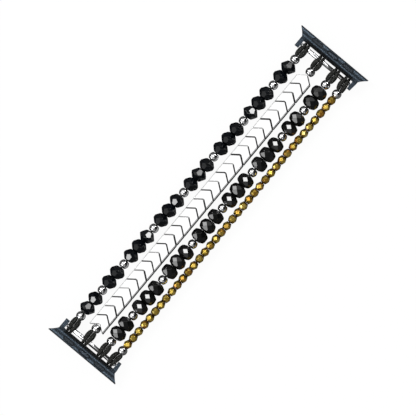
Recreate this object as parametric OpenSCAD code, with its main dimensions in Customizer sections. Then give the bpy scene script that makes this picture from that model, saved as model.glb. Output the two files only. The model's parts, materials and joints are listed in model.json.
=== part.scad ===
// Elastic bead watch band: four beaded strands between two slide-in lugs.
// X runs along the band, Y across it from the gold strand to the agate strand, Z up from what it lies on.
// Lengths are in millimetres.

/* [Strands] */
// Distance between the centres of the two end beads of a strand
strand_len = 120.3; // [112:0.1:135]
// From an end bead's centre to the axis of the bar
cord_loop_len = 5.55; // [5.2:0.05:7.5]
// Centre line of the chevron strand, measured from the middle of the band
chevron_y = 2.4; // [1.8:0.05:2.8]
// Gap between the agate strand and the chevron strand
agate_chevron_gap = 0.8; // [0.3:0.05:1.2]
// Gap between the chevron strand and the crystal strand
chevron_crystal_gap = 0.65; // [0.3:0.05:1]
// Gap between the crystal strand and the gold strand
crystal_gold_gap = 0.22; // [0.15:0.01:0.6]

/* [Beads] */
// Diameter of an agate bead
agate_d = 6.1; // [5.4:0.1:6.4]
// Facets round an agate bead
agate_facets = 8; // [6:2:12]
// Diameter of the flat end of an agate bead
agate_end_d = 2.5; // [1.8:0.1:3]
// Diameter of a crystal bead
crystal_d = 6.3; // [5.6:0.1:6.8]
// Facets round a crystal bead
crystal_facets = 8; // [6:2:12]
// Diameter of the flat end of a crystal bead
crystal_end_d = 3; // [1.8:0.1:3.4]
// Diameter of a gold bead
gold_d = 3.7; // [3:0.02:4]
// Facets round a gold bead
gold_facets = 6; // [6:2:10]
// Diameter of the flat end of a gold bead
gold_end_d = 1.7; // [1.5:0.05:2]
// Diameter of a silver bead
silver_d = 3.5; // [3.2:0.05:4]
// Length of a silver bead along its cord
silver_len = 2.8; // [2.4:0.05:2.95]
// Gap between neighbouring beads of one group
bead_gap = 0.04; // [0.02:0.01:0.08]
// Gap each side of a silver spacer, where the band bends and stretches
spacer_gap = 0.15; // [0.13:0.01:0.25]
// Gap at a bend in the strands that have no spacer there
bend_gap = 0.2; // [0.16:0.01:0.3]

/* [Chevron beads] */
// Width of a chevron bead across the band
chevron_w = 6.3; // [5.6:0.1:6.8]
// Thickness of a chevron bead
chevron_t = 3; // [2.4:0.1:3.2]
// Depth of the V at its front and back
chevron_point = 2.4; // [2:0.1:2.8]
// Width of the blunt tip of the V
chevron_tip_w = 0.5; // [0.3:0.05:0.8]
// Bevel along the top and bottom edges
chevron_bevel = 0.3; // [0.2:0.05:0.7]
// How far the chevron strand is rolled on its cord, so that its top leans to the agate strand
chevron_roll = 9; // [0:0.5:12]

/* [Cords] */
// Diameter of the elastic cord inside the beads
cord_d = 0.9; // [0.7:0.05:1.1]
// Clearance between the cord and a bead's bore
cord_clearance = 0.15; // [0.1:0.01:0.25]
// Width of one cord where it is squeezed round the bar
neck_w = 1.24; // [1.1:0.02:1.3]
// Thickness of one cord where it is squeezed round the bar
neck_t = 0.75; // [0.65:0.01:0.8]
// Width of one cord where it swells between the bar and the end bead
swell_w = 1.7; // [1.5:0.05:1.8]
// Thickness of one cord where it swells
swell_t = 1.5; // [1.3:0.05:1.6]
// Thickness of one cord where it enters the end bead
entry_t = 0.8; // [0.6:0.05:0.9]
// Gap between the two cords of a loop where they swell
slit = 0.14; // [0.08:0.01:0.25]
// Gap between the two cords of a loop where they are squeezed, and between its upper and lower legs
pair_gap = 0.06; // [0.04:0.01:0.1]

/* [Lugs] */
// Length of a lug across the band
lug_len = 31.2; // [29.5:0.1:34]
// Depth of a lug's rail, from its outer edge towards the beads
lug_depth = 4; // [3.7:0.05:4.3]
// Thickness of a lug
lug_t = 3.2; // [2.9:0.05:3.6]
// Rounding along the outer edge
rail_round = 0.8; // [0.5:0.05:1.2]
// Width of the sloping land beside the bar
slope_w = 1.4; // [1:0.05:1.6]
// Drop of the sloping land
slope_drop = 0.7; // [0.3:0.05:1]
// Radius of the slight hollow at each slanting end of the rail
end_hollow_r = 12; // [6:0.5:40]
// From the lug's outer edge to where a slanting end meets the ear
end_taper = 2.9; // [2.7:0.05:3.4]
// Width of the blunt tip of a slanting end
end_tip_w = 0.25; // [0.15:0.05:0.5]
// Distance between the two ears that hold the bar
ear_gap = 22.8; // [22.4:0.1:24]
// Thickness of an ear at its root
ear_t = 1.65; // [1.4:0.05:1.9]
// How much thinner the ear on the gold strand's side gets towards its end
gold_ear_taper = 0.35; // [0:0.05:0.5]
// Reach of an ear past the axis of the bar
ear_reach = 1.65; // [1.4:0.05:2]
// Rounding of an ear's end
ear_round = 0.9; // [0.5:0.05:1.2]
// From the outer edge of the lug to the axis of the bar
bar_inset = 5.5; // [5.4:0.05:5.8]

/* [Spring bar] */
// Diameter of the bar
bar_d = 1.55; // [1.45:0.05:1.8]
// Wall of the bar's tube
tube_wall = 0.2; // [0.16:0.01:0.24]
// Thickness of the closed-in ends of the tube
tube_end_t = 0.5; // [0.4:0.05:0.8]
// Diameter of a tip, where it enters an ear
tip_d = 0.75; // [0.6:0.05:0.8]
// How far a tip reaches into its ear
tip_engagement = 1.1; // [0.8:0.05:1.15]
// Length of the piston behind a tip
piston_len = 1.5; // [1:0.1:3]
// Clearance between a moving pin and its hole
pin_clearance = 0.05; // [0.03:0.01:0.08]
// Clearance between the end of the tube and an ear
bar_end_clearance = 0.2; // [0.1:0.05:0.3]
// Clearance between the bar and the cords round it
bar_cord_clearance = 0.08; // [0.06:0.01:0.15]
// Clearance between the outer cords and the ears
ear_cord_clearance = 0.2; // [0.15:0.01:0.3]
// Clearance between the cords and the channel in the lug
channel_clearance = 0.2; // [0.1:0.05:0.25]
// Wall of the bar's spring, drawn as a plain sleeve
bar_spring_wall = 0.15; // [0.1:0.01:0.2]

/* [Catch and pads] */
// Length of the catch and of each pad
pill_len = 4.7; // [4:0.1:5.2]
// Width of the catch and of each pad
pill_w = 1.5; // [1.2:0.05:1.6]
// From the lug's outer edge to the middle of the catch
pill_inset = 1.4; // [1.3:0.05:1.5]
// From the middle of the lug to the middle of a pad
pad_spacing = 7.1; // [6.4:0.1:8.5]
// Depth of a pad's pocket
pad_depth = 0.8; // [0.5:0.05:1.1]
// Height of a pad above the lug's face
pad_proud = 0.12; // [0.05:0.01:0.25]
// Clearance round a pad in its pocket
pad_clearance = 0.02; // [0.01:0.01:0.04]
// Height of the catch above the lug's face
catch_proud = 0.45; // [0.3:0.05:0.6]
// Travel of the catch when it is pressed
catch_travel = 0.5; // [0.3:0.05:0.6]
// Clearance round the catch in its slot
catch_clearance = 0.05; // [0.03:0.01:0.08]
// Thickness of the lip that keeps the catch in
lip_t = 0.6; // [0.5:0.05:0.7]
// Thickness of the catch's flange
flange_t = 0.6; // [0.4:0.05:0.7]
// How far the flange reaches under the lip at each end
flange_reach = 0.4; // [0.25:0.05:0.6]
// Height of the catch's spring when the catch is pressed home
spring_solid = 0.85; // [0.7:0.05:0.95]
// Outer diameter of the catch's spring, drawn as a plain sleeve
catch_spring_d = 1.1; // [0.9:0.05:1.2]

/* [Hidden] */
$fn = 48;
// Beads of each kind in each segment, from the left lug to the right one
agate_groups = [2, 2, 3, 3, 3, 3, 3, 2];
crystal_groups = [2, 3, 3, 3, 3, 3, 2, 2];
chevron_groups = [2, 4, 4, 4, 5, 4, 3, 2];
gold_groups = [3, 5, 5, 6, 6, 5, 5, 3];
segments = len(agate_groups);
spacers = segments - 1;

function sum(list, count) = count <= 0 ? 0 : list[count - 1] + sum(list, count - 1);
agates = sum(agate_groups, segments);
crystals = sum(crystal_groups, segments);
chevrons = sum(chevron_groups, segments);
golds = sum(gold_groups, segments);

// The strands lie side by side, with their cords at one height
axis_z = max(agate_d, crystal_d, lug_t) / 2;
chevron_half_y = (chevron_w * cos(chevron_roll) + chevron_t * sin(chevron_roll)) / 2;
agate_y = chevron_y + chevron_half_y + agate_chevron_gap + agate_d / 2;
crystal_y = chevron_y - chevron_half_y - chevron_crystal_gap - crystal_d / 2;
gold_y = crystal_y - crystal_d / 2 - crystal_gold_gap - gold_d / 2;
strand_ys = [agate_y, chevron_y, crystal_y, gold_y];
bore_d = cord_d + 2 * cord_clearance;
end_x = strand_len / 2;
bar_x = end_x + cord_loop_len;
outer_x = bar_x + bar_inset;

// The two strands with spacers: the room left by silver beads and gaps is shared by the stones
function stone_len(count) =
    (strand_len - segments * silver_len - (count - segments) * bead_gap
        - 2 * bead_gap - 2 * spacers * spacer_gap) / count;
agate_len = stone_len(agates);
crystal_len = stone_len(crystals);
function silver_gap(k) = k == 0 || k == segments ? bead_gap : spacer_gap;
function group_len(groups, k, bead_len) =
    groups[k] * bead_len + (groups[k] - 1) * bead_gap;
// Centre of silver bead k of such a strand, where bead 0 and the last one are the end beads
function silver_x(groups, bead_len, k) = k == 0 ? -end_x :
    silver_x(groups, bead_len, k - 1) + silver_len + silver_gap(k - 1)
        + group_len(groups, k - 1, bead_len) + silver_gap(k);
// Centre of stone i of group k
function stone_x(groups, bead_len, k, i) =
    silver_x(groups, bead_len, k) + silver_len / 2 + silver_gap(k)
        + bead_len / 2 + i * (bead_len + bead_gap);

// The gold strand runs from end bead to end bead with a wider gap at each bend
gold_run = strand_len - silver_len - (golds + 1 - spacers) * bead_gap - spacers * bend_gap;
gold_len = gold_run / golds;
function run_x(groups, bead_len, start, k, i) =
    start + bead_len / 2 + (sum(groups, k) + i) * (bead_len + bead_gap) + k * (bend_gap - bead_gap);
gold_start = -end_x + silver_len / 2 + bead_gap;

// The first chevron takes the round end bead into its V, and the last one's tip meets the other
v_slope = norm([chevron_point, chevron_w / 2]) / (chevron_w / 2);
chevron_start = -end_x + (silver_d / 2 + bead_gap) * v_slope;
chevron_end = end_x - silver_len / 2 - bead_gap;
chevron_len = (chevron_end - chevron_start - (chevrons - 1 - spacers) * bead_gap
    - spacers * bend_gap) / chevrons;

// Cord loops round the bar
bar_r = bar_d / 2;
loop_r = bar_r + bar_cord_clearance + neck_t / 2;
channel_r = bar_r + bar_cord_clearance + neck_t + channel_clearance;
loop_end = cord_loop_len - silver_len / 2 - bead_gap;
loop_room = ear_gap / 2 - swell_w - slit / 2 - ear_cord_clearance;
function loop_bar_y(strand_y) = max(-loop_room, min(loop_room, strand_y));
leg_rings = 7;
turn_rings = 8;
loop_rings = 2 * leg_rings + turn_rings;
loop_sides = 8;

// Spring bar
tube_len = ear_gap - 2 * bar_end_clearance;
tube_bore_r = bar_r - tube_wall;
tip_hole_r = tip_d / 2 + pin_clearance;
piston_r = tube_bore_r - pin_clearance;
piston_out = tube_len / 2 - tube_end_t - pin_clearance;
piston_in = piston_out - piston_len;
tip_out = ear_gap / 2 + tip_engagement;

// Catch
lug_top = axis_z + lug_t / 2;
lug_bottom = axis_z - lug_t / 2;
flange_top = lug_top - lip_t - catch_clearance;
flange_bottom = flange_top - flange_t;
pocket_bottom = flange_bottom - catch_travel - spring_solid;
pill_x = outer_x - pill_inset;

stone_color = [0.07, 0.08, 0.12];
crystal_color = [0.16, 0.16, 0.17];
gold_color = [0.72, 0.53, 0.16];
silver_color = [0.82, 0.83, 0.85];
cord_color = [0.09, 0.09, 0.09];
lug_color = [0.2, 0.25, 0.3];
pad_color = [0.1, 0.11, 0.13];
steel_color = [0.6, 0.61, 0.63];

function numbered(name, count) = [for (k = [1:count]) str(name, "_", k)];

// A cylinder along the band
module x_cylinder(d, length) {
    rotate([0, 90, 0])
        cylinder(d = d, h = length, center = true);
}

// A cylinder across the band, from y = 0
module y_cylinder(r, length) {
    rotate([-90, 0, 0])
        cylinder(r = r, h = length);
}

// A cut bead, bored along X: a belt of rhombi round its middle, a row of kites on each side of the
// belt, and triangles between the kites and the flat ends. Each facet is flat.
module faceted_bead(d, end_d, length, facets) {
    step = 360 / facets;
    kite_slope = (d - end_d) / length;
    belt_r = d / 2 * cos(step / 2);
    belt_half = d / 2 * pow(sin(step / 2), 2) / kite_slope;
    radii = [end_d / 2, belt_r, d / 2, belt_r, end_d / 2];
    stations = [-length / 2, -belt_half, 0, belt_half, length / 2];
    rings = len(radii);
    points = [
        for (ring = [0:rings - 1], j = [0:facets - 1])
            let (a = step * (j + ring / 2 - 1))
            [stations[ring], radii[ring] * cos(a), radii[ring] * sin(a)]
    ];
    sides = [
        for (ring = [0:rings - 2], j = [0:facets - 1])
            let (a = ring * facets + j, b = ring * facets + (j + 1) % facets)
            each [[a, a + facets, b], [b, a + facets, b + facets]]
    ];
    back = [for (j = [0:facets - 1]) j];
    front = [for (j = [facets - 1:-1:0]) (rings - 1) * facets + j];
    difference() {
        polyhedron(points = points, faces = concat(sides, [back, front]));
        x_cylinder(bore_d, length + 1);
    }
}

// A round bead with a flat at each end of its bore
module silver_bead() {
    rotate([0, 90, 0])
        rotate_extrude()
            intersection() {
                circle(d = silver_d);
                translate([bore_d / 2, -silver_len / 2])
                    square([silver_d, silver_len]);
            }
}

// A flat V-shaped bead that points along +X, with its back notch at x = 0
module chevron_bead() {
    half_w = chevron_w / 2;
    half_tip = chevron_tip_w / 2;
    blunt = chevron_point * half_tip / half_w;
    outline = [
        [-chevron_point, half_w],
        [chevron_len - chevron_point, half_w],
        [chevron_len - blunt, half_tip],
        [chevron_len - blunt, -half_tip],
        [chevron_len - chevron_point, -half_w],
        [-chevron_point, -half_w],
        [-blunt, -half_tip],
        [-blunt, half_tip]
    ];
    half_t = chevron_t / 2;
    section = [
        [half_t, -half_w + chevron_bevel],
        [half_t, half_w - chevron_bevel],
        [half_t - chevron_bevel, half_w],
        [-half_t + chevron_bevel, half_w],
        [-half_t, half_w - chevron_bevel],
        [-half_t, -half_w + chevron_bevel],
        [-half_t + chevron_bevel, -half_w],
        [half_t - chevron_bevel, -half_w]
    ];
    difference() {
        intersection() {
            translate([0, 0, -half_t])
                linear_extrude(chevron_t)
                    polygon(outline);
            translate([-chevron_point - 1, 0, 0])
                rotate([0, 90, 0])
                    linear_extrude(chevron_len + chevron_point + 2)
                        polygon(section);
        }
        x_cylinder(bore_d, 2 * chevron_len + 2);
    }
}

module agates(k) {
    color(stone_color)
        for (i = [0:agate_groups[k] - 1])
            translate([stone_x(agate_groups, agate_len, k, i), agate_y, axis_z])
                faceted_bead(agate_d, agate_end_d, agate_len, agate_facets);
}

module crystals(k) {
    color(crystal_color)
        for (i = [0:crystal_groups[k] - 1])
            translate([stone_x(crystal_groups, crystal_len, k, i), crystal_y, axis_z])
                faceted_bead(crystal_d, crystal_end_d, crystal_len, crystal_facets);
}

module golds(k) {
    color(gold_color)
        for (i = [0:gold_groups[k] - 1])
            translate([run_x(gold_groups, gold_len, gold_start, k, i), gold_y, axis_z])
                faceted_bead(gold_d, gold_end_d, gold_len, gold_facets);
}

module chevrons(k) {
    color(silver_color)
        for (i = [0:chevron_groups[k] - 1])
            translate([run_x(chevron_groups, chevron_len, chevron_start, k, i) - chevron_len / 2,
                    chevron_y, axis_z])
                rotate([-chevron_roll, 0, 0])
                    chevron_bead();
}

module spacer_beads(k) {
    color(silver_color) {
        translate([silver_x(agate_groups, agate_len, k), agate_y, axis_z])
            silver_bead();
        translate([silver_x(crystal_groups, crystal_len, k), crystal_y, axis_z])
            silver_bead();
    }
}

module end_beads(side) {
    color(silver_color)
        for (y = strand_ys)
            translate([side * end_x, y, axis_z])
                silver_bead();
}

module elastic_cords() {
    color(cord_color)
        for (y = strand_ys)
            translate([0, y, axis_z])
                x_cylinder(cord_d, strand_len + silver_len);
}

// One cord of a loop, from the end bead over the bar and back under it, with the bar's axis at
// the origin and the beads towards +X. A point of its centre line is [x, z].
function eased(share) = share * share * (3 - 2 * share);
// How far a ring lies along its leg, from 0 at the bar to 1 at the bead
function leg_share(i) =
    i < leg_rings ? 1 - i / leg_rings :
    i > leg_rings + turn_rings ? leg_share(loop_rings - i) : 0;
// How much the cord swells at a ring: nothing round the bar, and most halfway along a leg
function swell(i) = max(0, sin(180 * leg_share(i)));
function half_width(i) = (neck_w + (swell_w - neck_w) * sqrt(swell(i))) / 2;
function half_depth(i) =
    (neck_t + (entry_t - neck_t) * leg_share(i) + (swell_t - neck_t) * pow(swell(i), 1.5)) / 2;
function offset_y(i) = half_width(i) + (pair_gap + (slit - pair_gap) * swell(i)) / 2;
function leg_z(i) = max(
    loop_r + (entry_t / 2 - loop_r) * eased(leg_share(i)),
    half_depth(i) + pair_gap / 2);
function centre(i) =
    i < leg_rings ? [loop_end * leg_share(i), leg_z(i)] :
    i > leg_rings + turn_rings ? [centre(loop_rings - i)[0], -centre(loop_rings - i)[1]] :
    let (a = 90 + 180 * (i - leg_rings) / turn_rings) [loop_r * cos(a), loop_r * sin(a)];
// The cords lean from the bar to the strand's own line
function lean(i, from_y, to_y) = from_y + (to_y - from_y) * pow(leg_share(i), 2);
function ring_points(i, pair_side, from_y, to_y) =
    let (
        before = centre(max(i - 1, 0)),
        after = centre(min(i + 1, loop_rings)),
        along = i == 0 || i == loop_rings ? [1, 0] : (after - before) / norm(after - before),
        normal = i == 0 ? [0, 1] : i == loop_rings ? [0, -1] : [along[1], -along[0]],
        y = lean(i, from_y, to_y) + pair_side * offset_y(i)
    )
    [for (j = [0:loop_sides - 1])
        let (a = 360 * j / loop_sides, out = half_depth(i) * sin(a))
        [centre(i)[0] + out * normal[0], y + half_width(i) * cos(a), centre(i)[1] + out * normal[1]]];

module loop_cord(pair_side, from_y, to_y) {
    points = [for (i = [0:loop_rings]) each ring_points(i, pair_side, from_y, to_y)];
    sides = [
        for (i = [0:loop_rings - 1], j = [0:loop_sides - 1])
            let (a = i * loop_sides + j, b = i * loop_sides + (j + 1) % loop_sides)
            each [[a, b, a + loop_sides], [b, b + loop_sides, a + loop_sides]]
    ];
    back = [for (j = [loop_sides - 1:-1:0]) j];
    front = [for (j = [0:loop_sides - 1]) loop_rings * loop_sides + j];
    polyhedron(points = points, faces = concat(sides, [back, front]));
}

// Turns what is drawn for the right lug to the left one
module at_side(side) {
    mirror([side < 0 ? 1 : 0, 0, 0])
        children();
}

module cord_loops(side) {
    color(cord_color)
        at_side(side)
            translate([bar_x, 0, axis_z])
                mirror([1, 0, 0])
                    for (y = strand_ys, pair_side = [-1, 1])
                        loop_cord(pair_side, loop_bar_y(y), y);
}

// A plate with round ends, centred on the catch's line and going down from z
module pill(length, width, height, z) {
    translate([pill_x, 0, z - height])
        linear_extrude(height)
            union() {
                square([width, length - width], center = true);
                for (end = [-1, 1])
                    translate([0, end * (length - width) / 2])
                        circle(d = width);
            }
}

// The rail's section along the band, extruded across it
module rail() {
    half_t = lug_t / 2;
    translate([0, lug_len / 2, axis_z])
        rotate([90, 0, 0])
            linear_extrude(lug_len)
                union() {
                    polygon([
                        [outer_x - lug_depth, -half_t + slope_drop],
                        [outer_x - lug_depth + slope_w, -half_t],
                        [outer_x - rail_round, -half_t],
                        [outer_x - rail_round, half_t],
                        [outer_x - lug_depth + slope_w, half_t],
                        [outer_x - lug_depth, half_t - slope_drop]
                    ]);
                    translate([outer_x - 2 * rail_round, -half_t + rail_round])
                        square([2 * rail_round, lug_t - 2 * rail_round]);
                    for (level = [-1, 1])
                        translate([outer_x - rail_round, level * (half_t - rail_round)])
                            circle(r = rail_round);
                }
}

// An ear whose outer face tapers from its root at the rail to its round end
module ear(taper) {
    reach = outer_x - lug_depth - (bar_x - ear_reach);
    length = reach + slope_w;
    translate([bar_x - ear_reach, ear_gap / 2, axis_z])
        intersection() {
            translate([0, ear_t, 0])
                rotate([90, 0, 0])
                    linear_extrude(ear_t)
                        union() {
                            translate([ear_round, -lug_t / 2])
                                square([length - ear_round, lug_t]);
                            translate([0, -lug_t / 2 + ear_round])
                                square([2 * ear_round, lug_t - 2 * ear_round]);
                            for (level = [-1, 1])
                                translate([ear_round, level * (lug_t / 2 - ear_round)])
                                    circle(r = ear_round);
                        }
            translate([0, 0, -lug_t / 2 - 1])
                linear_extrude(lug_t + 2)
                    polygon([[0, 0], [length, 0], [length, ear_t], [reach, ear_t], [0, ear_t - taper]]);
        }
}

// The slanting end of the rail is hollowed by a circle through its tip and the ear's root
module end_hollow() {
    tip = [outer_x - end_tip_w, lug_len / 2];
    root = [outer_x - end_taper, ear_gap / 2 + ear_t];
    half_chord = norm(tip - root) / 2;
    across = [root[1] - tip[1], tip[0] - root[0]] / (2 * half_chord);
    middle = (tip + root) / 2 + across * sqrt(pow(end_hollow_r, 2) - pow(half_chord, 2));
    translate([middle[0], middle[1], lug_bottom - 1])
        cylinder(r = end_hollow_r, h = lug_t + 2, $fn = 4 * $fn);
}

module lug_body(side) {
    color(lug_color)
        at_side(side)
            difference() {
                union() {
                    difference() {
                        rail();
                        for (end = [0, 1])
                            mirror([0, end, 0])
                                end_hollow();
                        translate([bar_x, -ear_gap / 2, axis_z])
                            y_cylinder(channel_r, ear_gap);
                    }
                    for (end = [0, 1])
                        mirror([0, end, 0])
                            ear(end * gold_ear_taper);
                }
                for (end = [0, 1])
                    mirror([0, end, 0])
                        translate([bar_x, ear_gap / 2 - 1, axis_z])
                            y_cylinder(tip_hole_r, ear_t + 2);
                for (end = [-1, 1])
                    translate([0, end * pad_spacing, 0])
                        pill(pill_len, pill_w, pad_depth + 1, lug_top + 1);
                pill(pill_len, pill_w, lip_t + 2, lug_top + 1);
                pill(pill_len + 2 * flange_reach, pill_w, lug_top - lip_t - pocket_bottom,
                    lug_top - lip_t);
            }
}

module friction_pads(side) {
    color(pad_color)
        at_side(side)
            for (end = [-1, 1])
                translate([0, end * pad_spacing, 0])
                    pill(pill_len - 2 * pad_clearance, pill_w - 2 * pad_clearance,
                        pad_depth + pad_proud - pad_clearance, lug_top + pad_proud);
}

module catch(side) {
    color(steel_color)
        at_side(side) {
            pill(pill_len - 2 * catch_clearance, pill_w - 2 * catch_clearance,
                lug_top + catch_proud - flange_bottom, lug_top + catch_proud);
            pill(pill_len + 2 * flange_reach - 2 * catch_clearance, pill_w - 2 * catch_clearance,
                flange_t, flange_top);
        }
}

module catch_spring(side) {
    height = flange_bottom - pocket_bottom - 2 * catch_clearance;
    color(steel_color)
        at_side(side)
            translate([pill_x, 0, pocket_bottom + catch_clearance])
                difference() {
                    cylinder(d = catch_spring_d, h = height);
                    translate([0, 0, -1])
                        cylinder(d = catch_spring_d / 2, h = height + 2);
                }
}

module bar_tube(side) {
    color(silver_color)
        at_side(side)
            translate([bar_x, 0, axis_z])
                difference() {
                    translate([0, -tube_len / 2, 0])
                        y_cylinder(bar_r, tube_len);
                    translate([0, -tube_len / 2 + tube_end_t, 0])
                        y_cylinder(tube_bore_r, tube_len - 2 * tube_end_t);
                    translate([0, -tube_len / 2 - 1, 0])
                        y_cylinder(tip_hole_r, tube_len + 2);
                }
}

module bar_tip(side, end) {
    color(steel_color)
        at_side(side)
            mirror([0, end < 0 ? 1 : 0, 0])
                translate([bar_x, 0, axis_z]) {
                    translate([0, piston_in, 0])
                        y_cylinder(piston_r, piston_len);
                    translate([0, piston_in, 0])
                        y_cylinder(tip_d / 2, tip_out - piston_in);
                }
}

module bar_spring(side) {
    half_len = piston_in - pin_clearance;
    color(steel_color)
        at_side(side)
            translate([bar_x, -half_len, axis_z])
                difference() {
                    y_cylinder(piston_r, 2 * half_len);
                    translate([0, -1, 0])
                        y_cylinder(piston_r - bar_spring_wall, 2 * half_len + 2);
                }
}

for (side = [-1, 1]) {
    hand = side < 0 ? "left" : "right";
    lug_body(side);
    friction_pads(side);
    catch(side);
    catch_spring(side);
    bar_tube(side);
    bar_spring(side);
    bar_tip(side, 1);
    bar_tip(side, -1);
    cord_loops(side);
    end_beads(side);
}
elastic_cords();
for (k = [1:spacers])
    spacer_beads(k);
for (k = [1:segments]) {
    agates(k - 1);
    chevrons(k - 1);
    crystals(k - 1);
    golds(k - 1);
}
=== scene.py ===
"""Looks of the elastic bead watch band: cut stones, mirror metal, braided cords, satin lugs and light.

X runs along the band, Y across it from the gold strand to the agate strand, and Z up from the floor.
Shapes are worked out in millimetres, and turned into metres where a mesh is made.
"""

import json
import math
import random
from itertools import cycle

import bmesh
import bpy
from mathutils import Matrix, Vector

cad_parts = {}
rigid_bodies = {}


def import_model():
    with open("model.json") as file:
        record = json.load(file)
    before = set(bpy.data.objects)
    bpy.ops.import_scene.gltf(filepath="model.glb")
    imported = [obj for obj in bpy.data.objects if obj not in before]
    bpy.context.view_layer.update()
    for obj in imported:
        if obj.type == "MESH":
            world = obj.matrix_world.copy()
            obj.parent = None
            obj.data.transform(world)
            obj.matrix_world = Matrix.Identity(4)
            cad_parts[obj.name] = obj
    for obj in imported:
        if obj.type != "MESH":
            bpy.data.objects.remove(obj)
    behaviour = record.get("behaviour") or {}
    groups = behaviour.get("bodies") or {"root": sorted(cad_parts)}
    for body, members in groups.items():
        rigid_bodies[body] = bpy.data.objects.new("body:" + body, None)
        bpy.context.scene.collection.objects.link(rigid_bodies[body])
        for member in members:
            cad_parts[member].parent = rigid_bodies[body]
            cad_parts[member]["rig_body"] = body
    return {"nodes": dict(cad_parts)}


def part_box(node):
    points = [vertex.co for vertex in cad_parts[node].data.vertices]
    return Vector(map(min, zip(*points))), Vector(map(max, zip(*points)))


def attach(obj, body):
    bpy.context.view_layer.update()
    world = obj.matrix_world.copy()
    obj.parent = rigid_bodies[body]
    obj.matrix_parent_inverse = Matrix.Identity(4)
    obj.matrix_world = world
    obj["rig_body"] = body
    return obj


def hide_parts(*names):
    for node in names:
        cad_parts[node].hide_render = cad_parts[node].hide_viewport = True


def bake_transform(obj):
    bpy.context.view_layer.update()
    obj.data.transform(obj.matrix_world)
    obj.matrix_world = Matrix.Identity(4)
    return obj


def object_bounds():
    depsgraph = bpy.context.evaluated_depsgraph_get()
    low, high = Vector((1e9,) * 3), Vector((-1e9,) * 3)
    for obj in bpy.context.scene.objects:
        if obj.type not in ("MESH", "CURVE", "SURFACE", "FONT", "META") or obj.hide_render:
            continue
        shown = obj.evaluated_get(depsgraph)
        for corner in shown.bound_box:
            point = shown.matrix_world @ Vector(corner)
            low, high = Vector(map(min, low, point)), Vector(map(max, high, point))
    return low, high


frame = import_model()
cad_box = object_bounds()

MM = 0.001
SEED = 11
STRANDS = ("agate", "chevron", "crystal", "gold")
HANDS = ("left", "right")
SEGMENTS = 8
# The segment that the others hang from, as in the record
ROOT_SEGMENT = 5
# Points of a CAD solid that lie closer than this are one
WELD = 0.002


# Places that the frame gives

def box_mm(node):
    """The lowest and highest corner of a CAD node, in millimetres."""
    low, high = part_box(node)
    return low / MM, high / MM


def middle(box):
    return (box[0] + box[1]) / 2


def welded(node):
    """The mesh of a CAD node, with the shared points of its faces joined."""
    mesh = bmesh.new()
    mesh.from_mesh(frame["nodes"][node].data)
    bmesh.ops.remove_doubles(mesh, verts=mesh.verts, dist=WELD * MM)
    return mesh


def linked(vertex):
    """A vertex and every other that edges lead to from it."""
    found = {vertex}
    front = [vertex]
    while front:
        here = front.pop()
        for edge in here.link_edges:
            other = edge.other_vert(here)
            if other not in found:
                found.add(other)
                front.append(other)
    return found


def islands(node):
    """The separate solids of a CAD node as boxes in millimetres, from left to right."""
    mesh = welded(node)
    left = set(mesh.verts)
    boxes = []
    while left:
        island = linked(next(iter(left)))
        left -= island
        places = [v.co / MM for v in island]
        low = Vector([min(p[axis] for p in places) for axis in range(3)])
        high = Vector([max(p[axis] for p in places) for axis in range(3)])
        boxes.append((low, high))
    mesh.free()
    return sorted(boxes, key=lambda b: (round(b[0].x, 2), b[0].y))


def size_of_first(node):
    """Length and diameter of the first bead of a node."""
    low, high = islands(node)[0]
    return high.x - low.x, high.z - low.z


bar_low, bar_high = box_mm("right_bar_tube")
bar_x = (bar_low.x + bar_high.x) / 2
bar_r = (bar_high.z - bar_low.z) / 2
# Height of the bars and the cords
axis_z = (bar_low.z + bar_high.z) / 2


# Making and joining meshes

def new_object(name, mesh):
    piece = bpy.data.objects.new(name, mesh)
    bpy.context.scene.collection.objects.link(piece)
    return piece


def mesh_of(name, points, faces):
    """A smooth mesh from points in millimetres, with every face turned outward."""
    mesh = bpy.data.meshes.new(name)
    mesh.from_pydata([Vector(p) * MM for p in points], [], faces)
    mesh.validate()
    for face in mesh.polygons:
        face.use_smooth = True
    made = bmesh.new()
    made.from_mesh(mesh)
    bmesh.ops.recalc_face_normals(made, faces=made.faces)
    made.to_mesh(mesh)
    made.free()
    return mesh


def tube_faces(rings, sides, first=0):
    """The faces of a closed tube whose points run ring after ring from a first point."""
    faces = []
    for ring in range(rings - 1):
        for side in range(sides):
            a = first + ring * sides + side
            b = first + ring * sides + (side + 1) % sides
            faces.append((a, b, b + sides, a + sides))
    for ring in (0, rings - 1):
        faces.append([first + ring * sides + side for side in range(sides)])
    return faces


def around(count):
    """Angles at even steps once round a circle."""
    return [math.tau * step / count for step in range(count)]


def lathe(name, profile, sides):
    """A solid turned about the X axis from a closed profile of [x, radius] points, in millimetres."""
    points = []
    for x, radius in profile:
        for angle in around(sides):
            points.append((x, radius * math.cos(angle), radius * math.sin(angle)))
    faces = []
    count = len(profile)
    for ring in range(count):
        here = ring * sides
        there = (ring + 1) % count * sides
        for side in range(sides):
            after = (side + 1) % sides
            faces.append((here + side, here + after, there + after, there + side))
    return mesh_of(name, points, faces)


def new_mesh(name, made):
    """Keeps what bmesh has made as a mesh with a name."""
    mesh = bpy.data.meshes.new(name)
    made.to_mesh(mesh)
    made.free()
    return mesh


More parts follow.
